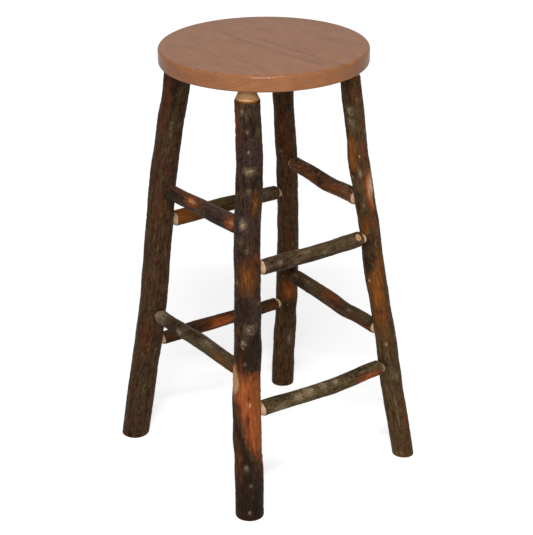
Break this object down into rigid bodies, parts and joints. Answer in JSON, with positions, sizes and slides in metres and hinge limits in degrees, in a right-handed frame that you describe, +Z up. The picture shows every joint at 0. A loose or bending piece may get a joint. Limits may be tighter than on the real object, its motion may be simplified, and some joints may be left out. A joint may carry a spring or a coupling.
{
  "type": "bar stool",
  "caption": "Rustic round-seat bar stool: glued oak boards on splayed bark-covered hickory poles, tied by staggered upper and lower rungs in round pinned tenons.",
  "frame": {"origin": "on the floor, under the middle of the seat", "axes": "+Z up to the seat, -Y front, +X to the right of someone facing the front"},
  "size_m": [0.3991, 0.4126, 0.764],
  "materials": {
    "seat_oak": "satin clear-coated red oak, grain front to back",
    "leg_hickory": "bark left on, peeled patches, satin clear coat",
    "rung_hickory": "smooth young bark left on, satin clear coat",
    "pin_steel": "bright drawn wire"
  },
  "bodies": {
    "root": {"seat_left_board": "seat_oak", "seat_middle_board": "seat_oak", "seat_right_board": "seat_oak", "back_left_leg": "leg_hickory", "front_left_leg": "leg_hickory", "front_right_leg": "leg_hickory", "back_right_leg": "leg_hickory", "left_upper_rung": "rung_hickory", "back_upper_rung": "rung_hickory", "front_upper_rung": "rung_hickory", "right_upper_rung": "rung_hickory", "left_lower_rung": "rung_hickory", "back_lower_rung": "rung_hickory", "front_lower_rung": "rung_hickory", "right_lower_rung": "rung_hickory", "rung_pins": "pin_steel"}
  },
  "joints": []
}
